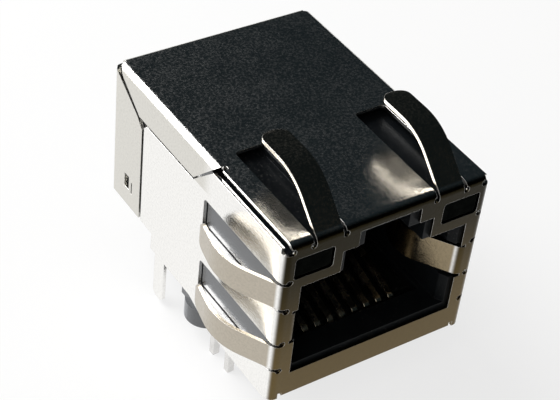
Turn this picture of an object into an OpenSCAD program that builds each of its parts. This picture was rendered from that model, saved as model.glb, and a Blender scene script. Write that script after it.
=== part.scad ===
// Shielded eight-way modular jack for a circuit board: latch side up, two light
// windows over the port, signal transformers in the rear of the case.
// The port faces -Y. The origin lies on the board, midway between the two locating pegs.

/* [Case] */
// Width over the shield's side panels
case_w = 16; // [15.8:0.1:17]
// Height of the top panel above the board
case_h = 13.65; // [13.6:0.05:14.6]
// Depth from the port face to the rear panel
case_d = 21.8; // [21.4:0.1:24]
// Thickness of the shield's sheet
sheet_t = 0.25; // [0.2:0.01:0.28]
// Distance from the port face back to the line of the locating pegs
peg_setback = 10.5; // [10.3:0.05:10.8]

/* [Shield bends] */
// Outer radius of the bends round the port face
face_bend_r = 0.55; // [0.45:0.05:0.6]
// Outer radius of the bend between the top panel and its side flaps
flap_bend_r = 0.65; // [0.5:0.05:0.8]
// Outer radius of the bends at the rear panel
rear_bend_r = 0.45; // [0.4:0.05:0.6]
// Depth of the side flaps under the top panel
flap_h = 2.4; // [2:0.1:2.8]
// Distance from the port face to the front end of the flaps
flap_front = 8.5; // [8:0.1:9]
// Length of the rear panel's side wings
wing_l = 4.05; // [3.6:0.05:4.3]
// Gap between two neighbouring edges of the folded sheet
seam_gap = 0.15; // [0.1:0.01:0.2]
// Gap between the side panels and the edges of the top panel's front half
edge_gap = 0.2; // [0.1:0.01:0.25]
// Height of the rear panel's lower edge above the board
rear_lift = 2.45; // [2.2:0.05:2.8]
// Height of the side panels' lower edge behind the pegs
side_lift = 1.05; // [0.9:0.05:1.3]

/* [Spring fingers] */
// Distance between the two relief holes at a finger's root
finger_slot_w = 2.44; // [2.2:0.02:2.6]
// Diameter of the relief holes
relief_d = 0.44; // [0.36:0.02:0.5]
// Length of the window that a finger is cut from
finger_window_l = 9.4; // [9:0.1:9.8]
// Distance of the top fingers' centre lines from the middle
top_finger_x = 4.73; // [4.5:0.01:4.9]
// Height of the lower side finger's centre line
low_finger_z = 4.02; // [3.9:0.02:4.2]
// Height of the upper side finger's centre line
high_finger_z = 9.36; // [9.2:0.02:9.5]
// Angle at which the top fingers leave the top panel
top_finger_angle = 44; // [36:2:46]
// Angle at which the side fingers leave the side panels
side_finger_angle = 29; // [24:1:34]

/* [Port] */
// Width of the shield's port cut-out
port_w = 13.1; // [12.8:0.1:13.3]
// Height of the port cut-out's lower edge
port_z = 2.25; // [2.1:0.05:2.4]
// Height of the port cut-out's wide part
port_h = 7.7; // [7.5:0.05:7.8]
// Width of the first step over the wide part
step_w = 7.15; // [6.9:0.05:7.3]
// Height of the first step
step_h = 1.7; // [1.6:0.05:1.8]
// Width of the latch notch over the step
notch_w = 4.8; // [4.4:0.1:5.2]
// Height of the front panel's rim over the latch notch
port_roof = 0.8; // [0.7:0.05:1]
// Width of the plug cavity
cavity_w = 11.9; // [11.8:0.02:12]
// Height of the plug cavity's floor at the mouth
cavity_z = 2.7; // [2.6:0.05:2.9]
// Height of the plug cavity
cavity_h = 7; // [6.9:0.05:7.05]
// Depth of the plug cavity from the port face
cavity_d = 12.25; // [12:0.05:12.5]

/* [Lights] */
// Width of a light window
light_w = 2.95; // [2.7:0.05:3.1]
// Height of a light window
light_h = 1.7; // [1.5:0.05:1.8]
// Distance of the light windows' centres from the middle
light_x = 5.74; // [5.7:0.01:5.78]
// Distance of the light windows' centres below the top panel
light_drop = 2.05; // [2:0.01:2.1]
// Length of a light body
light_l = 5; // [4.6:0.1:5.2]

/* [Contacts] */
// Number of spring contacts
contact_n = 8; // [8:1:8]
// Distance between neighbouring contacts
contact_pitch = 1.016; // [1.0:0.002:1.02]
// Width of a contact wire
contact_w = 0.45; // [0.4:0.01:0.46]
// Thickness of a contact wire
contact_t = 0.3; // [0.25:0.01:0.32]

/* [Pegs and pins] */
// Diameter of the locating pegs
peg_d = 3.2; // [3:0.05:3.25]
// Distance between the two pegs
peg_spacing = 12.7; // [12.6:0.05:12.8]
// Length of the pegs below the board's surface
peg_drop = 1.9; // [1.6:0.1:2.4]
// Width of the square solder pins
pin_w = 0.5; // [0.4:0.02:0.54]
// Length of the solder pins below the board's surface
pin_drop = 3; // [2.9:0.1:3.4]
// Distance between neighbouring signal pins along the rows
pin_pitch = 1.27; // [1.27:0.01:1.3]
// Distance between the two rows of signal pins
pin_row_gap = 2.54; // [2.4:0.02:2.6]
// Width of the shield's solder blades
blade_w = 1.3; // [1.1:0.05:1.4]
// Length of the shield's blades below the board's surface
blade_drop = 2.7; // [2.4:0.1:2.8]

/* [Magnetics] */
// Thickness of the inner circuit board
board_t = 0.8; // [0.7:0.05:0.9]
// Outer diameter of a transformer core
core_d = 3.6; // [3.4:0.05:3.7]
// Outer diameter of a choke core
choke_d = 2.9; // [2.7:0.05:3]
// Thickness of the cores
core_t = 1.3; // [1.2:0.05:1.4]
// Thickness of the windings' wire layer
winding_t = 0.22; // [0.18:0.01:0.24]

/* [Hidden] */
$fn = 48;
// Clearance between two pieces that sit together
fit = 0.05;
// Clearance round a pin or wire in its hole
wire_fit = 0.02;
// Overshoot of a cut past the face that it opens
past = 0.5;

half_w = case_w / 2;
finger_w = finger_slot_w - relief_d;
// Place where the three folded edges meet at the upper front corners
fold_z = case_h - face_bend_r;
panel_top = case_h - sheet_t - seam_gap;
flap_z = case_h - flap_h;
blade_y = peg_setback + 4.05;
slit_y = case_d - wing_l;

// Legs of a bent strip: [length, 0] is straight, [radius, angle] is a bend, left turns positive.
root_r = face_bend_r - sheet_t / 2;
top_finger = [[root_r, top_finger_angle - 90], [2.6, 0], [4, -top_finger_angle], [1.9, 0], [2, -20]];
side_finger = [[root_r, side_finger_angle - 90], [2.4, 0], [5, -side_finger_angle - 12], [1.7, 0], [0.8, -38]];
ground_tongue = [[root_r, -56], [2.6, 0], [3, -58], [1.3, 0]];
tongue_slot_z = [5.1, 7.95];
tongue_root = 0.4;

// Housing, set inside the shield
body_half = half_w - sheet_t - fit;
body_front = sheet_t + fit;
body_top = case_h - sheet_t - fit;
body_rear = case_d - sheet_t - fit;
body_floor = 0.3;
deck_drop = 0.45;
bay_half = 6.6;
bay_top = body_top - deck_drop - 0.3;
cavity_top = cavity_z + cavity_h;
sill_l = 1.9;

// Contact insert, slid in from the rear
insert_half = 5.5;
insert_z = 0.85;
insert_front = 3.1;
insert_wall = 1.35;
wire_z = 1.5;
comb_front = cavity_d - 2.75;
comb_top = 4.9;
comb_half = 4.6;
comb_slot = 0.6;
hook_r = 0.5;
contact_tail = 0.4;
contact_slope = 17;

// Inner board and magnetics case, stacked behind the insert
board_y = cavity_d + insert_wall + fit;
case_front = board_y + board_t + fit;
module_half = 6.5;
module_z = 0.6;
module_top = bay_top - fit;
module_wall = 0.7;
module_rear = body_rear;
base_t = 1.2;
board_inset = 0.25;
board_half = module_half - board_inset;
chip_size = [0.8, 0.45, 1.6];
chip_pitch = 1.6;
capacitor_size = [4.6, 1.2, 2];
capacitor_z = 2.6;
pin_row_y = (case_front + module_rear - module_wall - pin_row_gap) / 2;
pin_top = 3.2;
boss_d = 0.9;
core_y = module_rear - module_wall - winding_t - fit - core_t / 2;
core_x = 3;
core_gap = 0.15;
core_z = module_top - module_wall - core_gap - winding_t - core_d / 2;
choke_z = core_z - core_d / 2 - core_gap - 2 * winding_t - choke_d / 2;

// Lights
light_body_w = light_w + 0.35;
light_body_h = light_h + 0.3;
light_z = case_h - light_drop;
lead_x = half_w - 1;
lead_front_y = body_front + light_l + 0.9;
lead_pitch = 1.95;
lead_rise = 1;
lead_y = [lead_front_y, lead_front_y + lead_pitch];
lead_z = [light_z - lead_rise / 2, light_z + lead_rise / 2];

// ---- helpers ----

// Draws its children in case coordinates, with the port face at y = 0
module in_case() {
  translate([0, -peg_setback, 0]) children();
}

module mirrored() {
  children();
  mirror([1, 0, 0]) children();
}

// A profile drawn in (y, z) and extruded along X from x0
module along_x(x0, length) {
  translate([x0, 0, 0]) rotate([90, 0, 90]) linear_extrude(length) children();
}

// A profile drawn in (x, z) and extruded along Y from y0
module along_y(y0, length) {
  translate([0, y0 + length, 0]) rotate([90, 0, 0]) linear_extrude(length) children();
}

module box(low, high) {
  translate(low) cube(high - low);
}

module ring_sector(r_in, r_out, angle) {
  reach = 2 * r_out;
  intersection() {
    difference() {
      circle(r_out);
      circle(r_in);
    }
    polygon(concat([[0, 0]], [for (k = [0:3]) reach * [cos(k * angle / 3), sin(k * angle / 3)]]));
  }
}

// A strip of sheet or wire seen edge on, drawn leg by leg from the origin along +X
module strip(legs, t, k = 0) {
  if (k < len(legs)) {
    leg = legs[k];
    if (leg[1] == 0) {
      translate([0, -t / 2]) square([leg[0], t]);
      translate([leg[0], 0]) strip(legs, t, k + 1);
    } else {
      side = sign(leg[1]);
      mirror([0, side < 0 ? 1 : 0]) translate([0, leg[0]]) rotate(-90)
        ring_sector(leg[0] - t / 2, leg[0] + t / 2, abs(leg[1]));
      translate(leg[0] * [sin(abs(leg[1])), side * (1 - cos(leg[1]))])
        rotate(leg[1]) strip(legs, t, k + 1);
    }
  }
}

// How far a strip that starts at the given heading reaches along X
function strip_reach(legs, heading, k = 0) =
  k == len(legs) ? 0
  : legs[k][1] == 0 ? legs[k][0] * cos(heading) + strip_reach(legs, heading, k + 1)
  : sign(legs[k][1]) * legs[k][0] * (sin(heading + legs[k][1]) - sin(heading))
    + strip_reach(legs, heading + legs[k][1], k + 1);

module rounded_plate(size, r) {
  translate([-size.x / 2, r - size.y / 2]) square([size.x, size.y - 2 * r]);
  translate([r - size.x / 2, -size.y / 2]) square([size.x - 2 * r, size.y]);
  for (sx = [-1, 1], sy = [-1, 1])
    translate([sx * (size.x / 2 - r), sy * (size.y / 2 - r)]) circle(r);
}

// ---- shield: one folded sheet ----

// A finger lanced from a bend: X runs back along the panel, Y points away from it
module spring_finger(legs, w) {
  reach = sheet_t / 2 + strip_reach(legs, 90);
  tip_r = 0.45 * w;
  intersection() {
    linear_extrude(w, center = true)
      translate([sheet_t / 2, -face_bend_r]) rotate(90) strip(legs, sheet_t);
    translate([0, case_w / 2, 0]) rotate([90, 0, 0]) linear_extrude(case_w)
      translate([reach / 2 - tip_r, 0]) rounded_plate([reach + 2 * tip_r, w], tip_r);
  }
}

module port_outline() {
  translate([-port_w / 2, port_z]) square([port_w, port_h]);
  translate([-step_w / 2, port_z]) square([step_w, port_h + step_h]);
  translate([-notch_w / 2, port_z]) square([notch_w, case_h - port_roof - port_z]);
  root_w = port_w + 2 * tongue_root;
  translate([-root_w / 2, tongue_slot_z[0]]) square([root_w, tongue_slot_z[1] - tongue_slot_z[0]]);
}

module front_panel() {
  face_half = half_w - face_bend_r;
  notch = 0.3;
  along_y(0, sheet_t) difference() {
    translate([-face_half, 0.15]) square([2 * face_half, fold_z - 0.15]);
    port_outline();
    for (s = [-1, 1]) translate([s * light_x, light_z]) rounded_plate([light_w, light_h], 0.22);
    translate([notch - face_half, 0]) square([2 * (face_half - notch), body_floor]);
    for (s = [-1, 1]) translate([s * (face_half - notch), 0]) square([notch, 2 * 0.58], center = true);
  }
}

module top_panel() {
  plate_half = half_w - sheet_t - edge_gap;
  flat_half = half_w - flap_bend_r;
  difference() {
    union() {
      box([-plate_half, face_bend_r, case_h - sheet_t], [plate_half, flap_front - seam_gap, case_h]);
      box([-flat_half, flap_front - past, case_h - sheet_t], [flat_half, case_d - rear_bend_r, case_h]);
      along_x(-plate_half, 2 * plate_half) translate([face_bend_r, fold_z]) rotate(90)
        ring_sector(face_bend_r - sheet_t, face_bend_r, 90);
    }
    for (s = [-1, 1]) finger_window([s * top_finger_x, 0, case_h], [0, 0, 0]);
    // Relief notch where the flap's bend ends at the panel's edge
    mirrored() box([flat_half - edge_gap, flap_front - edge_gap - seam_gap, case_h - 2 * sheet_t],
                   [half_w, flap_front - seam_gap / 3, case_h + past]);
  }
}

// The window that a finger is cut from, through the bend and the panel behind it
module finger_window(at, turn) {
  depth = 2 * face_bend_r;
  translate(at) rotate(turn) translate([0, 0, -face_bend_r]) linear_extrude(depth)
    translate([0, finger_window_l / 2 - 1]) rounded_plate([finger_slot_w, finger_window_l + 2], 0.3);
}

module rear_panel() {
  flat_half = half_w - flap_bend_r;
  along_x(-flat_half, 2 * flat_half) translate([case_d - rear_bend_r, case_h - rear_bend_r])
    ring_sector(rear_bend_r - sheet_t, rear_bend_r, 90);
  rear_half = half_w - rear_bend_r;
  box([-rear_half, case_d - sheet_t, rear_lift], [rear_half, case_d, case_h - rear_bend_r]);
}

// Outline of a side panel in (y, z), with its solder blade
module side_outline() {
  step_y = blade_y + blade_w / 2 + 0.65;
  tip = 0.3;
  flap_low = flap_z - seam_gap;
  polygon([
    [face_bend_r, 0], [peg_setback - 2.9, 0], [peg_setback - 0.1, side_lift],
    [blade_y - blade_w / 2, side_lift],
    [blade_y - blade_w / 2, -blade_drop + tip], [blade_y - blade_w / 2 + tip, -blade_drop],
    [blade_y + blade_w / 2 - tip, -blade_drop], [blade_y + blade_w / 2, -blade_drop + tip],
    [blade_y + blade_w / 2, side_lift],
    [step_y, side_lift], [step_y, rear_lift],
    [slit_y - 2 * seam_gap, rear_lift], [slit_y - 2 * seam_gap, flap_low - 0.35],
    [slit_y - 2 * seam_gap - 0.35, flap_low],
    [flap_front + flap_h, flap_low], [flap_front + 0.1, panel_top], [face_bend_r, panel_top]
  ]);
}

module side_panel() {
  difference() {
    union() {
      along_x(-half_w, sheet_t) side_outline();
      translate([face_bend_r - half_w, face_bend_r, 0.15]) rotate([0, 0, 180])
        linear_extrude(fold_z - 0.15 - relief_d / 2) ring_sector(face_bend_r - sheet_t, face_bend_r, 90);
    }
    for (z = [low_finger_z, high_finger_z]) finger_window([-half_w, 0, z], [0, -90, 0]);
  }
}

// The part of a folded edge piece that lies inside an outline in (y, z)
module folded_side(outline) {
  intersection() {
    children();
    along_x(-half_w - past, case_w) polygon(outline);
  }
}

module side_flap() {
  flap_rear = slit_y + 0.4;
  folded_side([
    [flap_front + flap_h, flap_z], [flap_rear, flap_z], [case_d - rear_bend_r, case_h],
    [case_d - rear_bend_r, case_h + past], [flap_front, case_h + past], [flap_front, case_h]
  ]) {
    union() {
      translate([0, flap_front, 0]) rotate([-90, 0, 0]) linear_extrude(case_d - flap_front)
        translate([flap_bend_r - half_w, flap_bend_r - case_h]) rotate(180)
          ring_sector(flap_bend_r - sheet_t, flap_bend_r, 90);
      box([-half_w, flap_front, flap_z], [sheet_t - half_w, case_d, case_h - flap_bend_r]);
    }
  }
}

module rear_wing() {
  mitre = 2 * seam_gap;
  latch_y = case_d - 2.2;
  difference() {
    folded_side([
      [slit_y, rear_lift], [case_d + past, rear_lift], [case_d + past, case_h - rear_bend_r],
      [case_d - rear_bend_r + mitre, case_h - rear_bend_r], [slit_y + 0.4 + mitre, flap_z - seam_gap],
      [slit_y, flap_z - 0.9]
    ]) {
      union() {
        translate([rear_bend_r - half_w, case_d - rear_bend_r, 0]) rotate([0, 0, 90])
          linear_extrude(case_h) ring_sector(rear_bend_r - sheet_t, rear_bend_r, 90);
        box([-half_w, slit_y, rear_lift], [sheet_t - half_w, case_d - rear_bend_r, case_h]);
      }
    }
    translate([-half_w, latch_y, 4.5]) cube([3 * sheet_t, 0.65, 1.15], center = true);
    translate([-half_w, latch_y - 0.7, 4.3]) cube([3 * sheet_t, 0.14, 1], center = true);
  }
}

module finger_reliefs() {
  for (s = [-1, 1], e = [-1, 1]) {
    translate([s * top_finger_x + e * finger_slot_w / 2, 0, fold_z]) rotate([90, 0, 0])
      cylinder(d = relief_d, h = 2 * face_bend_r, center = true);
    for (z = [low_finger_z, high_finger_z])
      translate([s * (half_w - face_bend_r), 0, z + e * finger_slot_w / 2]) rotate([90, 0, 0])
        cylinder(d = relief_d, h = 2 * face_bend_r, center = true);
  }
  for (s = [-1, 1]) translate([s * (half_w - face_bend_r), 0, fold_z]) rotate([90, 0, 0])
    cylinder(d = relief_d, h = 2 * face_bend_r, center = true);
}

module shield() {
  tongue_h = tongue_slot_z[1] - tongue_slot_z[0] - relief_d;
  color("lightslategray") in_case() {
    difference() {
      union() {
        front_panel();
        top_panel();
        rear_panel();
        mirrored() {
          side_panel();
          side_flap();
          rear_wing();
        }
      }
      finger_reliefs();
    }
    for (s = [-1, 1])
      translate([s * top_finger_x, 0, case_h]) rotate([90, 0, 90]) spring_finger(top_finger, finger_w);
    mirrored() {
      for (z = [low_finger_z, high_finger_z])
        translate([half_w, 0, z]) mirror([1, -1, 0]) spring_finger(side_finger, finger_w);
      translate([port_w / 2 + tongue_root - face_bend_r, 0, (tongue_slot_z[0] + tongue_slot_z[1]) / 2])
        rotate([0, 0, 90]) spring_finger(ground_tongue, tongue_h);
    }
  }
}

// ---- housing: front body with the plug cavity, light pockets and pegs ----

module plug_cavity() {
  box([-cavity_w / 2, 0, cavity_z], [cavity_w / 2, cavity_d + past, cavity_top]);
  box([-3.15, 0, cavity_z], [3.15, cavity_d + past, cavity_top + step_h - 0.05]);
  box([-1.75, 0, cavity_z], [1.75, cavity_d + past, case_h - port_roof - 0.4]);
  // Mouth that leads the plug in
  mouth = cavity_w / 2 + 0.35;
  linear_z = [cavity_z, cavity_top];
  translate([0, body_front, linear_z[0]]) linear_extrude(linear_z[1] - linear_z[0])
    polygon([[-mouth, -past], [mouth, -past], [mouth, 0], [cavity_w / 2, 0.6], [-cavity_w / 2, 0.6], [-mouth, 0]]);
}

// Pockets that the ground tongues spring back into
module tongue_pockets() {
  low = tongue_slot_z[0] - 0.1;
  high = tongue_slot_z[1] + 0.1;
  mirrored() box([cavity_w / 2 - past, 0, low], [port_w / 2 + tongue_root + 0.1, 9, high]);
}

module light_pockets() {
  pocket_w = light_body_w + 2 * fit;
  pocket_h = light_body_h + 2 * fit;
  slot = pin_w + 4 * fit;
  low = light_z - pocket_h / 2;
  high = light_z + pocket_h / 2;
  mirrored() {
    box([light_x - pocket_w / 2, 0, low], [light_x + pocket_w / 2, body_front + light_l + fit, high]);
    box([lead_x - slot / 2, body_front + light_l, lead_z[0] - slot / 2],
        [lead_x + slot / 2, lead_y[1] + slot / 2, lead_z[1] + slot / 2]);
    for (y = lead_y) box([lead_x - slot / 2, y - slot / 2, -past], [lead_x + slot / 2, y + slot / 2, lead_z[0]]);
  }
}

module insert_slot() {
  half = insert_half + fit;
  box([-half, insert_front - 0.6, insert_z - fit], [half, cavity_d + past, cavity_z + past]);
  box([-half, sill_l + body_front, insert_z - fit], [half, insert_front, cavity_z + past]);
}

module locating_peg() {
  chamfer = 0.4;
  translate([0, 0, -peg_drop]) {
    cylinder(d1 = peg_d - 2 * chamfer, d2 = peg_d, h = chamfer);
    translate([0, 0, chamfer]) cylinder(d = peg_d, h = peg_drop - chamfer);
  }
}

// The outer block, with its edges eased to clear the inside of the shield's bends
module outer_block() {
  step_y = peg_setback - 1.2;
  ease = face_bend_r - sheet_t - fit;
  intersection() {
    along_x(-body_half, 2 * body_half) polygon([
      [body_front, body_floor], [step_y, body_floor], [step_y, side_lift + fit],
      [blade_y + blade_w, side_lift + fit], [blade_y + blade_w, rear_lift + fit],
      [body_rear, rear_lift + fit], [body_rear, body_top - ease], [body_rear - ease, body_top],
      [body_front + ease, body_top], [body_front, body_top - ease]
    ]);
    linear_extrude(case_h) translate([0, (body_front + body_rear) / 2])
      rounded_plate([2 * body_half, body_rear - body_front], ease);
  }
}

module housing_block() {
  difference() {
    outer_block();
    mirrored() box([top_finger_x - 1, 0, body_top - deck_drop], [body_half + past, case_d, case_h]);
    box([-bay_half, cavity_d - fit, -past], [bay_half, case_d, bay_top]);
    plug_cavity();
    tongue_pockets();
    light_pockets();
    insert_slot();
  }
}

module housing() {
  boss_y = peg_setback;
  color("dimgray") in_case() {
    housing_block();
    mirrored() {
      translate([peg_spacing / 2, boss_y, 0]) locating_peg();
      // Shoulder on the board, which joins the peg to the side wall's lower edge
      box([insert_half + fit, boss_y - peg_d / 2 + 0.3, 0], [body_half, boss_y + peg_d / 2 - 0.3, side_lift + 2 * fit]);
    }
    // Cross rib that stands on the board between the pegs
    box([-insert_half, boss_y - 0.5, 0], [insert_half, boss_y + 0.5, insert_z - fit]);
    box([-peg_spacing / 2, boss_y - 0.5, body_floor], [peg_spacing / 2, boss_y + 0.5, insert_z - fit]);
  }
}

// ---- contact insert and contacts ----

function contact_x(i) = (i - (contact_n + 1) / 2) * contact_pitch;

module contact_channels() {
  w = contact_w + 2 * wire_fit;
  t = contact_t + 2 * wire_fit;
  for (i = [1:contact_n]) {
    x = contact_x(i);
    box([x - w / 2, 0, wire_z - t / 2], [x + w / 2, board_y + past, wire_z + t / 2]);
    // Comb slot that guides the free end
    box([x - comb_slot / 2, comb_front - past, insert_z + 1.5], [x + comb_slot / 2, cavity_d - comb_slot, comb_top + past]);
  }
}

module contact_insert() {
  floor_top = 2.2;
  color("darkslategray") in_case() difference() {
    union() {
      box([-insert_half, insert_front, insert_z], [insert_half, cavity_d + past, floor_top]);
      box([-comb_half, comb_front, insert_z], [comb_half, cavity_d + past, comb_top]);
      box([-module_half, cavity_d, insert_z], [module_half, cavity_d + insert_wall, module_top]);
    }
    contact_channels();
  }
}

// Contact wire in (y, z): from behind the board, forward under the plug, round the
// hook and back up along the slope to its free end in the comb
module contact(i) {
  start_y = board_y + board_t + contact_tail;
  run = start_y - insert_front;
  slope_l = 6.3;
  legs = [[run, 0], [hook_r, -180 + contact_slope], [slope_l, 0], [2, -contact_slope - 22]];
  color("gold") in_case() along_x(contact_x(i) - contact_w / 2, contact_w)
    translate([start_y, wire_z]) rotate(180) strip(legs, contact_t);
}

// ---- inner board, magnetics case and what they carry ----

module inner_board() {
  hole_w = contact_w + 2 * wire_fit;
  hole_t = contact_t + 2 * wire_fit;
  color("darkgreen") in_case() difference() {
    box([-board_half, board_y, module_z + board_inset], [board_half, board_y + board_t, module_top - board_inset]);
    for (i = [1:contact_n]) translate([contact_x(i), board_y + board_t / 2, wire_z])
      cube([hole_w, 2 * board_t, hole_t], center = true);
  }
}

function pin_x(i) = (i - 4.5) * pin_pitch;
function pin_y(i) = pin_row_y + (i % 2) * pin_row_gap;

module magnetics_case() {
  inner = module_half - module_wall;
  hole = pin_w + 2 * wire_fit;
  foot = 1.2;
  tail_half = contact_x(contact_n) + contact_w;
  color("black") in_case() {
    difference() {
      box([-module_half, case_front, module_z], [module_half, module_rear, module_top]);
      box([-inner, case_front - past, module_z + base_t], [inner, module_rear - module_wall, module_top - module_wall]);
      // Relief in the base for the contacts' soldered ends
      box([-tail_half, case_front - past, wire_z - 0.5], [tail_half, case_front + contact_tail, module_z + 2 * base_t]);
      for (i = [1:8]) translate([pin_x(i), pin_y(i), module_z + base_t / 2]) cube([hole, hole, 2 * base_t], center = true);
    }
    // Bosses that the cores sit on
    for (x = [-core_x, core_x], z = [core_z, choke_z]) translate([x, module_rear - module_wall, z])
      rotate([90, 0, 0]) cylinder(d = boss_d, h = core_t + 2 * winding_t + 2 * fit);
    // Feet that stand on the board at the rear
    mirrored() box([module_half - foot, module_rear - foot, 0], [module_half, module_rear, module_z]);
  }
}

// A ring core with its axis along Y
module ring_core(d, at) {
  hole = boss_d + 2 * winding_t + 4 * fit;
  r = 0.2;
  color("dimgray") in_case() translate(at) rotate([90, 0, 0]) rotate_extrude()
    translate([(d + hole) / 4, 0]) rounded_plate([(d - hole) / 2, core_t], r);
}

// Wire wound round a ring core, open over a short arc where its ends leave
module ring_winding(d, at) {
  hole = boss_d + 2 * winding_t + 4 * fit;
  bar = [(d - hole) / 2, core_t];
  arc = 320;
  color("orangered") in_case() translate(at) rotate([90, 20, 0])
    rotate_extrude(angle = arc) translate([(d + hole) / 4, 0])
      winding_section(bar, wire_fit, winding_t - wire_fit);
}

module winding_section(bar, clear, t) {
  difference() {
    rounded_plate(bar + 2 * (clear + t) * [1, 1], 0.2 + clear + t);
    rounded_plate(bar + 2 * clear * [1, 1], 0.2 + clear);
  }
}

module resistor(i) {
  size = chip_size;
  x = (i - 2.5) * chip_pitch;
  color("black") in_case() translate([x - size.x / 2, case_front, module_top - module_wall - 2 * size.z]) cube(size);
}

module shield_capacitor() {
  color("tan") in_case() translate([-capacitor_size.x / 2, case_front, capacitor_z]) cube(capacitor_size);
}

module signal_pin(i) {
  taper = 0.5;
  color("gainsboro") in_case() translate([pin_x(i), pin_y(i), 0]) {
    box([-pin_w / 2, -pin_w / 2, -pin_drop + taper], [pin_w / 2, pin_w / 2, pin_top]);
    // Chisel point that leads the pin into its hole
    along_x(-pin_w / 2, pin_w) polygon([
      [-pin_w / 2, taper - pin_drop], [-pin_w / 4, -pin_drop], [pin_w / 4, -pin_drop], [pin_w / 2, taper - pin_drop]
    ]);
  }
}

// ---- lights ----

module light_body() {
  lens = 0.2;
  color("darkslateblue") in_case() {
    box([light_x - light_body_w / 2, body_front + fit, light_z - light_body_h / 2],
        [light_x + light_body_w / 2, body_front + light_l, light_z + light_body_h / 2]);
    // Raised lens that fills the window
    along_y(body_front + fit - lens, lens)
      translate([light_x, light_z]) rounded_plate([light_w - 4 * fit, light_h - 4 * fit], 0.15);
  }
}

// Lead k runs straight back from the light and turns down through the housing
module light_lead(k) {
  start_y = body_front + light_l + fit;
  bend_r = 0.5;
  run = lead_y[k] - start_y - bend_r;
  fall = lead_z[k] - bend_r + pin_drop;
  color("gainsboro") in_case() along_x(lead_x - pin_w / 2, pin_w)
    translate([start_y, lead_z[k]]) strip([[run, 0], [bend_r, -90], [fall, 0]], pin_w);
}

shield();
housing();
contact_insert();
for (i = [1:contact_n])
  contact(i);
inner_board();
magnetics_case();
for (i = [1:2]) {
  x = (2 * i - 3) * core_x;
  ring_core(core_d, [x, core_y, core_z]);
  ring_winding(core_d, [x, core_y, core_z]);
  ring_core(choke_d, [x, core_y, choke_z]);
  ring_winding(choke_d, [x, core_y, choke_z]);
}
for (i = [1:4])
  resistor(i);
shield_capacitor();
for (i = [1:8])
  signal_pin(i);
mirror([1, 0, 0]) light_body();  // left_light
light_body();  // right_light
mirror([1, 0, 0]) light_lead(0);  // left_light_lead_front
mirror([1, 0, 0]) light_lead(1);  // left_light_lead_rear
light_lead(0);  // right_light_lead_front
light_lead(1);  // right_light_lead_rear
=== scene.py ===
import math

import bmesh
import bpy
import numpy as np
from mathutils import Matrix, Vector


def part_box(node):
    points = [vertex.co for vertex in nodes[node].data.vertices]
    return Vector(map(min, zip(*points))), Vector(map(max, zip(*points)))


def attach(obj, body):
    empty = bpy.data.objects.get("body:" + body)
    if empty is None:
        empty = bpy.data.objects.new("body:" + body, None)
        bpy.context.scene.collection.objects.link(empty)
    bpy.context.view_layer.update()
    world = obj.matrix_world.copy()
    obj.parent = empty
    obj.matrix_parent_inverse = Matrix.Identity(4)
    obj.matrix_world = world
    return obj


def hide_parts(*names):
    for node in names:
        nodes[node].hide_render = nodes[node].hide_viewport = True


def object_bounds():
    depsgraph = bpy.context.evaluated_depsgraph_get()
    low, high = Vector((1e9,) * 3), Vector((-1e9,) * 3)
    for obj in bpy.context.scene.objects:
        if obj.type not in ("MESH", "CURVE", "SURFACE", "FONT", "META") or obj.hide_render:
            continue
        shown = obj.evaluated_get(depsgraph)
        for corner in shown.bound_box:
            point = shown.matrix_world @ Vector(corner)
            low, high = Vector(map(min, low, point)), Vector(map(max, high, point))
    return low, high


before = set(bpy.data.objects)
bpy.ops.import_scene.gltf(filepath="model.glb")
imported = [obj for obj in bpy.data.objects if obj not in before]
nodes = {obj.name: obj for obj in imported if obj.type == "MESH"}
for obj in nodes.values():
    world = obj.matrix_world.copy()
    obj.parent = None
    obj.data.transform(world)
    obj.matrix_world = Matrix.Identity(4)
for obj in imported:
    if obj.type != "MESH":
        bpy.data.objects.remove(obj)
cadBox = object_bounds()
print("frame loaded,", len(nodes), "nodes")

mm = 0.001


# camera and stage

view = {
    "position": (-0.050112, -0.064675, 0.074714),   # metres, in the part's frame
    "forward": (0.46423, 0.61144, -0.64081),
    "roll": math.radians(6.77),
    "lens": 98.44,
    "sensor": 36.0,
    "nearest": 0.005,           # metres
}

stage = {
    "floorSpan": 0.6,           # metres, half the side of the floor
    "floorPoints": 13,          # along each side
    "floorTone": (0.93, 0.93, 0.925, 1),
    "mottleShade": 0.985,       # the mottle's darker tone, as a share of the floor's
    "mottleScale": 900.0,       # per metre
    "roughness": (0.85, 0.95),
    "gloss": 0.1,
    "paleness": 0.75,           # how far the floor's shadow is lifted towards white
}


def makeCamera(settings):
    cameraData = bpy.data.cameras.new("camera")
    cameraData.lens = settings["lens"]
    cameraData.sensor_width = settings["sensor"]
    cameraData.clip_start = settings["nearest"]
    camera = bpy.data.objects.new("camera", cameraData)
    bpy.context.scene.collection.objects.link(camera)
    forward = Vector(settings["forward"]).normalized()
    level = forward.cross(Vector((0, 0, 1))).normalized()
    upright = level.cross(forward)
    # the horizon is turned by the roll about the line of sight
    right = level * math.cos(settings["roll"]) + upright * math.sin(settings["roll"])
    up = right.cross(forward)
    turn = Matrix((right, up, -forward)).transposed().to_4x4()
    camera.matrix_world = Matrix.Translation(settings["position"]) @ turn
    bpy.context.scene.camera = camera


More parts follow.
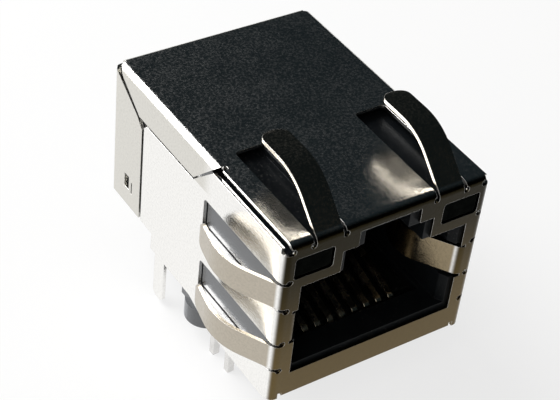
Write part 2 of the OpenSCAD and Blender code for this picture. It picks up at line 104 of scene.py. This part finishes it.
def gridMesh(name, points, closed=False):
    # a surface given as an array (rows, columns, 3); each cell becomes one face,
    # and a closed grid also joins its last row to its first
    rows, columns, _ = points.shape
    index = np.arange(rows * columns).reshape(rows, columns)
    if closed:
        index = np.vstack([index, index[:1]])
    corners = np.stack([index[:-1, :-1], index[1:, :-1], index[1:, 1:], index[:-1, 1:]], axis=-1)
    corners = corners.reshape(-1, 4)
    mesh = bpy.data.meshes.new(name)
    mesh.vertices.add(rows * columns)
    mesh.vertices.foreach_set("co", points.reshape(-1).astype(np.float32))
    mesh.loops.add(corners.size)
    mesh.loops.foreach_set("vertex_index", corners.reshape(-1).astype(np.int32))
    mesh.polygons.add(len(corners))
    mesh.polygons.foreach_set("loop_start", (np.arange(len(corners)) * 4).astype(np.int32))
    mesh.polygons.foreach_set("loop_total", np.full(len(corners), 4, dtype=np.int32))
    mesh.update(calc_edges=True)
    mesh.validate()
    made = bpy.data.objects.new(name, mesh)
    bpy.context.scene.collection.objects.link(made)
    return made


def makeFloor(settings):
    # a flat square at the height of the lowest pin: x = s, y = t, z = floor height
    height = cadBox[0][2]
    span = np.linspace(-settings["floorSpan"], settings["floorSpan"], settings["floorPoints"])
    s, t = np.meshgrid(span, span, indexing="ij")
    floor = gridMesh("floor", np.stack([s, t, np.full_like(s, height)], axis=-1))
    return floor


makeCamera(view)
bpy.context.scene.view_settings.view_transform = "Standard"
floor = makeFloor(stage)
print("stage built")


# small helpers for shader trees

def put(tree, socket, value):
    if isinstance(value, bpy.types.NodeSocket):
        tree.links.new(value, socket)
    else:
        socket.default_value = value


def calc(tree, operation, *values):
    node = tree.nodes.new("ShaderNodeMath")
    node.operation = operation
    for socket, value in zip(node.inputs, values):
        put(tree, socket, value)
    return node.outputs[0]


def times(tree, first, second):
    return calc(tree, "MULTIPLY", first, second)


def vectorCalc(tree, operation, *values):
    node = tree.nodes.new("ShaderNodeVectorMath")
    node.operation = operation
    for socket, value in zip(node.inputs, values):
        put(tree, socket, value)
    return node.outputs["Value"] if operation == "DOT_PRODUCT" else node.outputs[0]


def axes(tree, vector):
    node = tree.nodes.new("ShaderNodeSeparateXYZ")
    put(tree, node.inputs[0], vector)
    return node.outputs


def ramp(tree, value, span, ends=(0.0, 1.0)):
    # a smooth step between the two ends while value crosses the span
    node = tree.nodes.new("ShaderNodeMapRange")
    node.interpolation_type = "SMOOTHSTEP"
    for socket, number in zip(node.inputs, (value, *span, *ends)):
        put(tree, socket, number)
    return node.outputs[0]


def spread(tree, mask, ends):
    # a mask from 0 to 1 carried to the two ends
    return ramp(tree, mask, (0.0, 1.0), ends)


def blendColour(tree, factor, first, second, mode="MIX"):
    node = tree.nodes.new("ShaderNodeMix")
    node.data_type = "RGBA"
    node.blend_type = mode
    # of the node's many sockets these are the factor, the two colours and the colour out
    put(tree, node.inputs[0], factor)
    put(tree, node.inputs[6], first)
    put(tree, node.inputs[7], second)
    return node.outputs[2]


def noise(tree, vector, scale, kind=(2.0, 0.5)):
    # kind is the noise's detail and its roughness
    node = tree.nodes.new("ShaderNodeTexNoise")
    for name, value in zip(("Vector", "Scale", "Detail", "Roughness"), (vector, scale, *kind)):
        put(tree, node.inputs[name], value)
    return node.outputs[0]


def perMetre(tree, size):
    # a noise's scale from the size of its spots in mm
    return calc(tree, "DIVIDE", 1 / mm, size)


def shaded(colour, share):
    return tuple(share * channel for channel in colour[:3]) + (1,)


def newGroup(name, inputs, outputs):
    # inputs are (name, kind, default) and outputs (name, kind); kind is Float, Vector or Color
    tree = bpy.data.node_groups.new(name, "ShaderNodeTree")
    for label, kind, value in inputs:
        socket = tree.interface.new_socket(
            name=label, in_out="INPUT", socket_type="NodeSocket" + kind)
        if value is not None:
            socket.default_value = value
    for label, kind in outputs:
        tree.interface.new_socket(name=label, in_out="OUTPUT", socket_type="NodeSocket" + kind)
    given = tree.nodes.new("NodeGroupInput").outputs
    result = tree.nodes.new("NodeGroupOutput").inputs
    return tree, given, result


def useGroup(tree, group, **values):
    node = tree.nodes.new("ShaderNodeGroup")
    node.node_tree = group
    for name, value in values.items():
        put(tree, node.inputs[name], value)
    return node.outputs


# shared surface effects; a pair of levels gives what becomes 0 and what becomes 1

grainShape = {
    "stretch": (1.0, 0.06, 1.0),    # rolling draws the lines out along Y
    "fleckNoise": (3.0, 0.62),
    "fleckLevels": (0.3, 0.72),
    "slowLevels": (0.3, 0.7),       # of the lines and the clouds
    "fleckShare": 0.75,             # of the height; the lines give the rest
}


def makeGrainGroup(settings):
    # fine flecks, long rolling lines along Y and slow clouds, all between 0 and 1
    tree, given, result = newGroup(
        "rolledGrain",
        [("Vector", "Vector", None), ("Fleck", "Float", 0.12),
         ("Line", "Float", 0.08), ("Cloud", "Float", 3.0)],
        [("Fleck", "Float"), ("Line", "Float"), ("Cloud", "Float"), ("Height", "Float")])
    position = given["Vector"]
    stretched = vectorCalc(tree, "MULTIPLY", position, settings["stretch"])
    fleck = noise(tree, position, perMetre(tree, given["Fleck"]), settings["fleckNoise"])
    line = noise(tree, stretched, perMetre(tree, given["Line"]))
    cloud = noise(tree, position, perMetre(tree, given["Cloud"]))
    share = settings["fleckShare"]
    height = calc(tree, "ADD", times(tree, fleck, share), times(tree, line, 1 - share))
    put(tree, result["Fleck"], ramp(tree, fleck, settings["fleckLevels"]))
    put(tree, result["Line"], ramp(tree, line, settings["slowLevels"]))
    put(tree, result["Cloud"], ramp(tree, cloud, settings["slowLevels"]))
    put(tree, result["Height"], height)
    return tree


edgeShape = {
    "samples": 6,
    "levels": (0.985, 0.8),         # cosine between the rounded and the flat normal
}


def makeEdgeGroup(settings):
    # how far the rounded normal departs from the flat one: 0 on a face, 1 at a sharp edge
    tree, given, result = newGroup(
        "edgeRounding", [("Width", "Float", 0.06)], [("Mask", "Float"), ("Normal", "Vector")])
    bevel = tree.nodes.new("ShaderNodeBevel")
    bevel.samples = settings["samples"]
    put(tree, bevel.inputs["Radius"], times(tree, given["Width"], mm))
    geometry = tree.nodes.new("ShaderNodeNewGeometry")
    agreement = vectorCalc(tree, "DOT_PRODUCT", bevel.outputs[0], geometry.outputs["Normal"])
    put(tree, result["Mask"], ramp(tree, agreement, settings["levels"]))
    put(tree, result["Normal"], bevel.outputs[0])
    return tree


dustShape = {
    "speckNoise": (1.0, 0.4),
    "speckLevels": (0.66, 0.8),
    "patchScale": 300.0,            # per metre
    "patchNoise": (1.0, 0.5),
    "patchLevels": (0.35, 0.7),
}


def makeDustGroup(settings):
    # sparse pale specks: the tops of a fine noise, gathered in patches by a slow one
    tree, given, result = newGroup(
        "settledDust",
        [("Vector", "Vector", None), ("Speck", "Float", 0.09), ("Amount", "Float", 0.5)],
        [("Mask", "Float")])
    position = given["Vector"]
    speck = noise(tree, position, perMetre(tree, given["Speck"]), settings["speckNoise"])
    patch = noise(tree, position, settings["patchScale"], settings["patchNoise"])
    specks = ramp(tree, speck, settings["speckLevels"])
    patches = ramp(tree, patch, settings["patchLevels"])
    put(tree, result["Mask"], times(tree, times(tree, specks, patches), given["Amount"]))
    return tree


# in mm; the pairs are levels behind the front face, outside a side face or above the top face
sheetRegionLevels = {
    "frontFace": -10.5,             # y
    "sideFace": 8.0,                # x, either way
    "topFace": 13.65,               # z
    "face": (0.4, 0.12),
    "finger": (0.0, 0.12),
    "tongueSide": (-1.0, -1.3),
    "tongueTop": (-2.4, -2.8),
    "tongueStart": (0.3, 0.5),
    "tongueEnd": (8.0, 7.0),
    "wingStart": (17.6, 17.8),
    "flapStart": (8.5, 10.0),
    "flapFoot": (-2.5, -2.4),
    "lapSide": (-0.5, -0.1),
    "rearPanel": (21.3, 21.6),
    "height": (-13.0, -1.0),
}


def makeSheetRegionGroup(settings):
    # regions of the sheet where shade is painted: its front face, fingers, tongues, and wings with
    # flaps
    tree, given, result = newGroup(
        "sheetRegions",
        [("Vector", "Vector", None), ("Front", "Float", settings["frontFace"]),
         ("Side", "Float", settings["sideFace"]), ("Top", "Float", settings["topFace"])],
        [("Face", "Float"), ("Finger", "Float"), ("Tongue", "Float"), ("Lap", "Float"),
         ("Height", "Float")])
    inMm = vectorCalc(tree, "MULTIPLY", given["Vector"], (1 / mm, 1 / mm, 1 / mm))
    x, y, z = axes(tree, inMm)
    behind = calc(tree, "SUBTRACT", y, given["Front"])
    outside = calc(tree, "SUBTRACT", calc(tree, "ABSOLUTE", x), given["Side"])
    above = calc(tree, "SUBTRACT", z, given["Top"])
    put(tree, result["Face"], ramp(tree, behind, settings["face"]))
    # the fingers stand out of the sides and the top
    proud = calc(tree, "MAXIMUM", outside, above)
    put(tree, result["Finger"], ramp(tree, proud, settings["finger"]))
    # the tongues are the only sheet between the port's walls, in the front half
    between = times(tree, ramp(tree, outside, settings["tongueSide"]),
                    ramp(tree, above, settings["tongueTop"]))
    inside = times(tree, ramp(tree, behind, settings["tongueStart"]),
                   ramp(tree, behind, settings["tongueEnd"]))
    put(tree, result["Tongue"], times(tree, between, inside))
    # the rear panel, and its wings and the top's flaps where they lap the sides
    wing = ramp(tree, behind, settings["wingStart"])
    flap = times(tree, ramp(tree, behind, settings["flapStart"]),
                 ramp(tree, above, settings["flapFoot"]))
    lapping = times(tree, calc(tree, "MAXIMUM", wing, flap),
                    ramp(tree, outside, settings["lapSide"]))
    rear = ramp(tree, behind, settings["rearPanel"])
    put(tree, result["Lap"], calc(tree, "MAXIMUM", lapping, rear))
    # 0 low on the front, 1 near the top; it carries the front's painted shade to its darker upper
    # tone
    put(tree, result["Height"], ramp(tree, above, settings["height"]))
    return tree


grain = makeGrainGroup(grainShape)
edgeRounding = makeEdgeGroup(edgeShape)
dust = makeDustGroup(dustShape)
sheetRegions = makeSheetRegionGroup(sheetRegionLevels)


# materials; the sizes of flecks, lines, clouds, edges and bumps are in mm

def newMaterial(name, metallic=0.0, **constants):
    material = bpy.data.materials.new(name)
    material.use_nodes = True
    tree = material.node_tree
    shader = tree.nodes["Principled BSDF"]
    shader.inputs["Metallic"].default_value = metallic
    for label, value in constants.items():
        shader.inputs[label.replace("_", " ")].default_value = value
    position = tree.nodes.new("ShaderNodeTexCoord").outputs["Object"]
    return material, tree, shader, position


def useGrain(tree, position, settings):
    return useGroup(tree, grain, Vector=position, Fleck=settings["fleck"],
                    Line=settings["line"], Cloud=settings["cloud"])


def bump(tree, shader, height, settings, normal=None):
    node = tree.nodes.new("ShaderNodeBump")
    node.inputs["Strength"].default_value = settings["bumpStrength"]
    node.inputs["Distance"].default_value = settings["bumpDepth"] * mm
    put(tree, node.inputs["Height"], height)
    if normal is not None:
        put(tree, node.inputs["Normal"], normal)
    tree.links.new(node.outputs[0], shader.inputs["Normal"])


sheet = {
    "plate": (0.94, 0.93, 0.905, 1),
    # painted shade: the front face is dark brown, as a painted dark reflection, and darker towards
    # the top
    "paintedShadeFrontLow": (0.135, 0.097, 0.042, 1),
    "paintedShadeFrontHigh": (0.018, 0.015, 0.007, 1),
    # painted shade: the tongues are dark inside the port
    "paintedTongueShade": (0.26, 0.20, 0.11, 1),
    # painted shade: the fingers are a dimmer beige than the plate, for the darker reflections they
    # catch
    "finger": (0.44, 0.39, 0.31, 1),
    # painted shade: the wings, flaps and rear panel are duller than the plate
    "paintedLapShade": (0.76, 0.75, 0.715, 1),          # multiplies the plate
    "fleckShade": (0.7, 0.7, 0.7, 1),
    # painted highlight: the sheet's cut edges are near white
    "paintedEdgeHighlight": (0.97, 0.96, 0.94, 1),
    "paintedTongueShadeTone": 0.95,
    "paintedFingerShadeTone": 0.9,
    "fleckTone": 0.3,
    "paintedEdgeHighlightTone": 0.7,
    "roughness": (0.12, 0.26),
    "cloudShare": 0.15,                     # of the roughness; the flecks give the rest
    "fleck": 0.16,
    "line": 0.1,
    "cloud": 2.6,
    "edge": 0.04,
    "bumpDepth": 0.0155,
    "bumpStrength": 1.0,
}


def makePlatedSheet(settings):
    # nickel over bronze with flecks from rolling; painted shade on the front face, the tongues,
    # the fingers and where it laps the sides, and painted highlights at cut edges
    material, tree, shader, position = newMaterial("platedSheet", metallic=1.0)
    flecks = useGrain(tree, position, settings)
    edge = useGroup(tree, edgeRounding, Width=settings["edge"])
    regions = useGroup(tree, sheetRegions, Vector=position)
    # painted shade: the front face's painted dark reflection, blending darker towards the top
    front = blendColour(tree, regions["Height"], settings["paintedShadeFrontLow"], settings["paintedShadeFrontHigh"])
    # painted shade on the tongues inside the port
    paintedTongueShade = times(tree, regions["Tongue"], settings["paintedTongueShadeTone"])
    # painted shade on the fingers
    finger = times(tree, regions["Finger"], settings["paintedFingerShadeTone"])
    fleck = times(tree, flecks["Fleck"], settings["fleckTone"])
    # painted highlight along the sheet's cut edges
    paleEdge = times(tree, edge["Mask"], settings["paintedEdgeHighlightTone"])
    tone = blendColour(tree, regions["Face"], settings["plate"], front)
    tone = blendColour(tree, paintedTongueShade, tone, settings["paintedTongueShade"])
    tone = blendColour(tree, finger, tone, settings["finger"])
    # painted shade on the wings, flaps and rear panel
    tone = blendColour(tree, regions["Lap"], tone, settings["paintedLapShade"], "MULTIPLY")
    tone = blendColour(tree, fleck, tone, settings["fleckShade"], "MULTIPLY")
    # painted highlight: cut edges are blended towards near white
    tone = blendColour(tree, paleEdge, tone, settings["paintedEdgeHighlight"])
    put(tree, shader.inputs["Base Color"], tone)
    share = settings["cloudShare"]
    level = calc(tree, "ADD", times(tree, flecks["Cloud"], share),
                 times(tree, flecks["Fleck"], 1 - share))
    put(tree, shader.inputs["Roughness"], spread(tree, level, settings["roughness"]))
    bump(tree, shader, flecks["Height"], settings, edge["Normal"])
    return material


moulding = {
    "housing": (0.004, 0.005, 0.006, 1),
    "insert": (0.003, 0.004, 0.0036, 1),
    "case": (0.016, 0.017, 0.019, 1),
    "cloudColour": (0.012, 0.014, 0.016, 1),
    "edgeColour": (0.06, 0.064, 0.072, 1),
    "speckColour": (0.35, 0.34, 0.32, 1),
    "cloudTone": 0.3,
    "edgeTone": 0.35,
    "speckAmount": 0.35,
    "roughness": (0.30, 0.46),
    "gloss": 0.1,
    "coatRoughness": 0.2,
    "coatIndex": 2.0,
    "coatTint": (0.80, 0.87, 1.0, 1),
    # painted shade: the coat fades in only past these, leaving the port's inside darker
    "outerCoatSpan": (7.1 * mm, 7.3 * mm),         # metres off the middle
    "fleck": 0.09,
    "line": 0.4,
    "cloud": 2.0,
    "edge": 0.07,
    "bumpDepth": 0.006,
    "bumpStrength": 0.6,
}


def makeMoulding(name, colour, settings, outerCoatOnly=False):
    # black plastic with a spark-eroded texture, paler at its edges, a few specks of dust;
    # with outerCoatOnly the coat is kept to the outer side walls, so the port's inside stays
    # darker: painted shade
    material, tree, shader, position = newMaterial(
        name, Coat_Roughness=settings["coatRoughness"], Coat_IOR=settings["coatIndex"],
        Coat_Tint=settings["coatTint"], Specular_IOR_Level=settings["gloss"])
    texture = useGrain(tree, position, settings)
    edge = useGroup(tree, edgeRounding, Width=settings["edge"])
    specks = useGroup(tree, dust, Vector=position, Amount=settings["speckAmount"])
    cloud = times(tree, texture["Cloud"], settings["cloudTone"])
    paleEdge = times(tree, edge["Mask"], settings["edgeTone"])
    tone = blendColour(tree, cloud, colour, settings["cloudColour"])
    tone = blendColour(tree, paleEdge, tone, settings["edgeColour"])
    tone = blendColour(tree, specks["Mask"], tone, settings["speckColour"])
    put(tree, shader.inputs["Base Color"], tone)
    put(tree, shader.inputs["Roughness"], spread(tree, texture["Fleck"], settings["roughness"]))
    # painted shade: no coat inside the port, so the recess stays darker
    if outerCoatOnly:
        offMiddle = calc(tree, "ABSOLUTE", axes(tree, position)[0])
        put(tree, shader.inputs["Coat Weight"], ramp(tree, offMiddle, settings["outerCoatSpan"]))
    bump(tree, shader, texture["Height"], settings, edge["Normal"])
    return material


wire = {
    # colour, middle roughness, depth of the drawn streaks
    "gold": ((0.74, 0.66, 0.50, 1), 0.22, 0.25),
    "tin": ((0.80, 0.79, 0.77, 1), 0.3, 0.25),
    "copper": ((0.62, 0.20, 0.07, 1), 0.25, 0.6),
    "deepShade": 0.72,                      # of the streaks and clouds
    "cloudTone": 0.18,
    "roughnessSpread": (0.7, 1.3),          # about the middle roughness
    "fleck": 0.10,
    "line": 0.05,
    "cloud": 0.9,
    "edge": 0.05,
    "bumpDepth": 0.006,
    "bumpStrength": 0.5,
}


def makeWire(name, finish, settings):
    # drawn wire: lengthwise lines, slight tone clouds, smooth rounded edges
    colour, dull, streak = settings[finish]
    material, tree, shader, position = newMaterial(name, metallic=1.0)
    lines = useGrain(tree, position, settings)
    edge = useGroup(tree, edgeRounding, Width=settings["edge"])
    deeper = shaded(colour, settings["deepShade"])
    tone = blendColour(tree, times(tree, lines["Line"], streak), colour, deeper)
    tone = blendColour(tree, times(tree, lines["Cloud"], settings["cloudTone"]), tone, deeper)
    put(tree, shader.inputs["Base Color"], tone)
    roughness = tuple(dull * share for share in settings["roughnessSpread"])
    put(tree, shader.inputs["Roughness"], spread(tree, lines["Cloud"], roughness))
    bump(tree, shader, lines["Height"], settings, edge["Normal"])
    return material


resin = {
    "thin": (0.0015, 0.0022, 0.0018, 1),
    "cloudy": (0.004, 0.0048, 0.0042, 1),
    "edgeColour": (0.07, 0.07, 0.07, 1),
    "edgeTone": 0.5,
    "roughness": (0.16, 0.28),
    "index": 1.12,
    "gloss": 0.03,
    "fleck": 0.2,
    "line": 0.3,
    "cloud": 0.8,
    "edge": 0.1,
    "bumpDepth": 0.004,
    "bumpStrength": 0.4,
}


def makeResin(settings):
    # smoked clear resin over a dark chip cup
    material, tree, shader, position = newMaterial(
        "smokedResin", IOR=settings["index"], Specular_IOR_Level=settings["gloss"])
    haze = useGrain(tree, position, settings)
    edge = useGroup(tree, edgeRounding, Width=settings["edge"])
    paleEdge = times(tree, edge["Mask"], settings["edgeTone"])
    tone = blendColour(tree, haze["Cloud"], settings["thin"], settings["cloudy"])
    tone = blendColour(tree, paleEdge, tone, settings["edgeColour"])
    put(tree, shader.inputs["Base Color"], tone)
    put(tree, shader.inputs["Roughness"], spread(tree, haze["Fleck"], settings["roughness"]))
    bump(tree, shader, haze["Height"], settings, edge["Normal"])
    return material


laminate = {
    "valley": (0.016, 0.10, 0.045, 1),
    "crown": (0.026, 0.14, 0.06, 1),
    "roughness": (0.32, 0.45),
    "coat": 0.5,
    "coatRoughness": 0.2,
    "threadPitch": 0.35,
    "bumpDepth": 0.008,
    "bumpStrength": 0.4,
}


def makeLaminate(settings):
    # woven glass under green resist: the product of two crossed sine waves, from 0 to 1
    material, tree, shader, position = newMaterial(
        "boardResist", Coat_Weight=settings["coat"], Coat_Roughness=settings["coatRoughness"])
    x, y, _ = axes(tree, position)
    turns = 2 * math.pi / (settings["threadPitch"] * mm)
    warp = calc(tree, "SINE", times(tree, x, turns))
    weft = calc(tree, "SINE", times(tree, y, turns))
    weave = calc(tree, "MULTIPLY_ADD", times(tree, warp, weft), 0.5, 0.5)
    tone = blendColour(tree, weave, settings["valley"], settings["crown"])
    put(tree, shader.inputs["Base Color"], tone)
    put(tree, shader.inputs["Roughness"], spread(tree, weave, settings["roughness"]))
    bump(tree, shader, weave, settings)
    return material


ceramic = {
    # colour, colour of the flecks, middle roughness
    "ferrite": ((0.045, 0.046, 0.05, 1), (0.11, 0.11, 0.12, 1), 0.6),
    "glaze": ((0.02, 0.02, 0.022, 1), (0.05, 0.05, 0.055, 1), 0.35),
    "dielectric": ((0.42, 0.29, 0.17, 1), (0.54, 0.40, 0.26, 1), 0.45),
    "fleckTone": 0.5,
    "roughnessSpread": 0.1,                 # either way
    "fleck": 0.07,
    "line": 0.3,
    "cloud": 0.7,
    "bumpDepth": 0.008,
    "bumpStrength": 0.6,
}


def makeCeramic(name, finish, settings):
    # sintered ceramic: fine grains of a second tone
    colour, fleckColour, dull = settings[finish]
    material, tree, shader, position = newMaterial(name)
    grains = useGrain(tree, position, settings)
    fleck = times(tree, grains["Fleck"], settings["fleckTone"])
    put(tree, shader.inputs["Base Color"], blendColour(tree, fleck, colour, fleckColour))
    more = settings["roughnessSpread"]
    roughness = (dull - more, dull + more)
    put(tree, shader.inputs["Roughness"], spread(tree, grains["Cloud"], roughness))
    bump(tree, shader, grains["Height"], settings)
    return material


def makePaper(settings):
    # matt studio paper with a faint mottle, lifted towards white where it is seen or mirrored
    material, tree, shader, position = newMaterial(
        "studioPaper", Specular_IOR_Level=settings["gloss"])
    mottle = noise(tree, position, settings["mottleScale"])
    darker = shaded(settings["floorTone"], settings["mottleShade"])
    tone = blendColour(tree, mottle, settings["floorTone"], darker)
    put(tree, shader.inputs["Base Color"], tone)
    put(tree, shader.inputs["Roughness"], spread(tree, mottle, settings["roughness"]))
    glow = tree.nodes.new("ShaderNodeEmission")
    glow.inputs["Strength"].default_value = 1.0
    rays = tree.nodes.new("ShaderNodeLightPath").outputs
    mirrored = calc(tree, "MAXIMUM", rays["Is Glossy Ray"], rays["Is Transmission Ray"])
    seen = calc(tree, "MAXIMUM", rays["Is Camera Ray"], mirrored)
    mix = tree.nodes.new("ShaderNodeMixShader")
    put(tree, mix.inputs[0], times(tree, seen, settings["paleness"]))
    put(tree, mix.inputs[1], shader.outputs[0])
    put(tree, mix.inputs[2], glow.outputs[0])
    put(tree, tree.nodes["Material Output"].inputs["Surface"], mix.outputs[0])
    return material


materials = {
    "sheet": makePlatedSheet(sheet),
    "housing": makeMoulding("housingMoulding", moulding["housing"], moulding, outerCoatOnly=True),
    "insert": makeMoulding("insertMoulding", moulding["insert"], moulding),
    "case": makeMoulding("caseMoulding", moulding["case"], moulding),
    "gold": makeWire("goldPlating", "gold", wire),
    "tin": makeWire("tinnedWire", "tin", wire),
    "enamel": makeWire("enamelledCopper", "copper", wire),
    "resin": makeResin(resin),
    "laminate": makeLaminate(laminate),
    "ferrite": makeCeramic("ferriteRing", "ferrite", ceramic),
    "resistor": makeCeramic("resistorGlaze", "glaze", ceramic),
    "capacitor": makeCeramic("capacitorBody", "dielectric", ceramic),
}


# the wires of the transformers and chokes

winding = {
    "turns": 17,
    "holeRadius": 0.77 * mm,        # of the ring core
    "wireRadius": 0.092 * mm,
    "clearance": 0.014 * mm,        # between wire and core
    "squareness": 0.36,             # exponent of the turn's outline: 1 an ellipse, 0 a rectangle
    "arc": (-20, 300),              # degrees round the ring
    "stepsPerTurn": 36,
    "sides": 10,                    # of the wire's circle
    "endRings": 5,                  # in the half ball at each end
    "mergeGap": 1e-8,               # metres
}


def squared(wave, power):
    # the wave with its sign kept and its size raised to the power
    return np.sign(wave) * np.abs(wave) ** power


def makeWinding(name, core, node, settings):
    # one wire wound round a ring core. With t from 0 to 1 the ring angle runs along the arc and
    # the turn angle makes all turns; the wire's middle is the ring's middle circle plus a
    # squared-off ellipse, |cos|^k and |sin|^k with their signs, and a circle of the wire's
    # radius is carried along it in the frame of the turn. Each end closes as a half ball.
    low, high = (np.array(corner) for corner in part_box(core))
    middle = (low + high) / 2
    outer = (high[0] - low[0]) / 2
    hole = settings["holeRadius"]
    wireRadius = settings["wireRadius"]
    reach = wireRadius + settings["clearance"]
    ring = (outer + hole) / 2
    across = (outer - hole) / 2 + reach
    along = (high[1] - low[1]) / 2 + reach

    # the middle of the wire
    start, end = np.radians(settings["arc"])
    t = np.linspace(0, 1, settings["turns"] * settings["stepsPerTurn"] + 1)
    turn = 2 * np.pi * settings["turns"] * t
    angle = start + (end - start) * t
    outwards = across * squared(np.cos(turn), settings["squareness"])
    forwards = along * squared(np.sin(turn), settings["squareness"])
    radial = np.stack([np.cos(angle), np.zeros_like(t), np.sin(angle)], axis=-1)
    depth = np.array([0.0, 1.0, 0.0])
    path = middle + (ring + outwards)[:, None] * radial + forwards[:, None] * depth

    # the frame of the turn: along the wire, away from the ring's middle circle, and sideways
    tangent = np.gradient(path, axis=0)
    tangent /= np.linalg.norm(tangent, axis=1, keepdims=True)
    away = path - middle - ring * radial
    away -= np.sum(away * tangent, axis=1, keepdims=True) * tangent
    away /= np.linalg.norm(away, axis=1, keepdims=True)
    side = np.cross(tangent, away)

    # the half balls: rings that shrink with the cosine and move on with the sine
    ends = settings["endRings"]
    quarter = np.linspace(0, np.pi / 2, ends + 1)[1:]
    order = np.concatenate([np.zeros(ends, int), np.arange(len(t)), np.full(ends, len(t) - 1)])
    radius = np.concatenate([np.cos(quarter[::-1]), np.ones(len(t)), np.cos(quarter)])
    shift = np.concatenate([-np.sin(quarter[::-1]), np.zeros(len(t)), np.sin(quarter)])
    around = np.linspace(0, 2 * np.pi, settings["sides"], endpoint=False)[:, None, None]
    circle = np.cos(around) * away[order] + np.sin(around) * side[order]
    skin = shift[:, None] * tangent[order] + radius[:, None] * circle
    made = gridMesh(name, path[order] + wireRadius * skin, closed=True)

    # the poles are merged, and all faces turned outwards
    shape = bmesh.new()
    shape.from_mesh(made.data)
    bmesh.ops.remove_doubles(shape, verts=shape.verts, dist=settings["mergeGap"])
    bmesh.ops.recalc_face_normals(shape, faces=shape.faces)
    shape.to_mesh(made.data)
    shape.free()
    made.data.polygons.foreach_set("use_smooth", np.ones(len(made.data.polygons), dtype=bool))
    made.data.materials.append(materials["enamel"])
    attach(made, "root")
    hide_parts(node)


for kind in ("transformer", "choke"):
    for number in (1, 2):
        makeWinding(f"{kind}Turns{number}", f"{kind}_core_{number}",
                    f"{kind}_winding_{number}", winding)
print("windings wound")

# the first fitting beginning of a node's name chooses its material
finishes = [
    ("shield_capacitor", "capacitor"), ("shield", "sheet"), ("housing", "housing"),
    ("contact_insert", "insert"), ("contact_", "gold"), ("inner_board", "laminate"),
    ("magnetics_case", "case"), ("transformer_core", "ferrite"), ("choke_core", "ferrite"),
    ("transformer_winding", "enamel"), ("choke_winding", "enamel"), ("resistor", "resistor"),
    ("signal_pin", "tin"), ("left_light_lead", "tin"), ("right_light_lead", "tin"),
    ("left_light", "resin"), ("right_light", "resin"),
]

for name, thing in nodes.items():
    chosen = next(finish for start, finish in finishes if name.startswith(start))
    thing.data.materials.clear()
    thing.data.materials.append(materials[chosen])
floor.data.materials.append(makePaper(stage))
print("materials made,", len(materials))


# light: a soft panel behind on the left, and a room that is dark on the right

light = {
    "panelPlace": (-0.09, 0.17, 0.17),      # metres; it faces the origin
    "panelSize": 0.20,                      # metres
    "panelPower": 0.62,                     # watts
    "room": (1.04, 1.04, 1.04, 1),
    "warmSide": (0.25, -0.95, 0.05),
    "warmReach": (0.2, 0.85),               # cosines to the side where its tone starts and is full
    "warmTone": (0.42, 0.36, 0.27, 1),
    "darkSide": (0.80, 0.05, 0.60),
    "darkReach": (0.24, 0.52),
    "darkTone": (0.008, 0.012, 0.014, 1),
}


def makeRoom(settings):
    # an even room with a warm side in front and a dark side on the right
    world = bpy.data.worlds.new("room")
    bpy.context.scene.world = world
    world.use_nodes = True
    tree = world.node_tree
    background = tree.nodes["Background"]
    direction = tree.nodes.new("ShaderNodeTexCoord").outputs["Generated"]
    tone = settings["room"]
    for side in ("warm", "dark"):
        towards = Vector(settings[side + "Side"]).normalized()
        cosine = vectorCalc(tree, "DOT_PRODUCT", direction, towards)
        reach = ramp(tree, cosine, settings[side + "Reach"])
        tone = blendColour(tree, reach, tone, settings[side + "Tone"])
    put(tree, background.inputs["Color"], tone)
    background.inputs["Strength"].default_value = 1.0


def makePanel(settings):
    lamp = bpy.data.lights.new("softPanel", "AREA")
    lamp.shape = "SQUARE"
    lamp.size = settings["panelSize"]
    lamp.energy = settings["panelPower"]
    panel = bpy.data.objects.new("softPanel", lamp)
    place = Vector(settings["panelPlace"])
    panel.location = place
    panel.rotation_euler = (-place).to_track_quat("-Z", "Y").to_euler()
    bpy.context.scene.collection.objects.link(panel)


makeRoom(light)
makePanel(light)
print("light set")
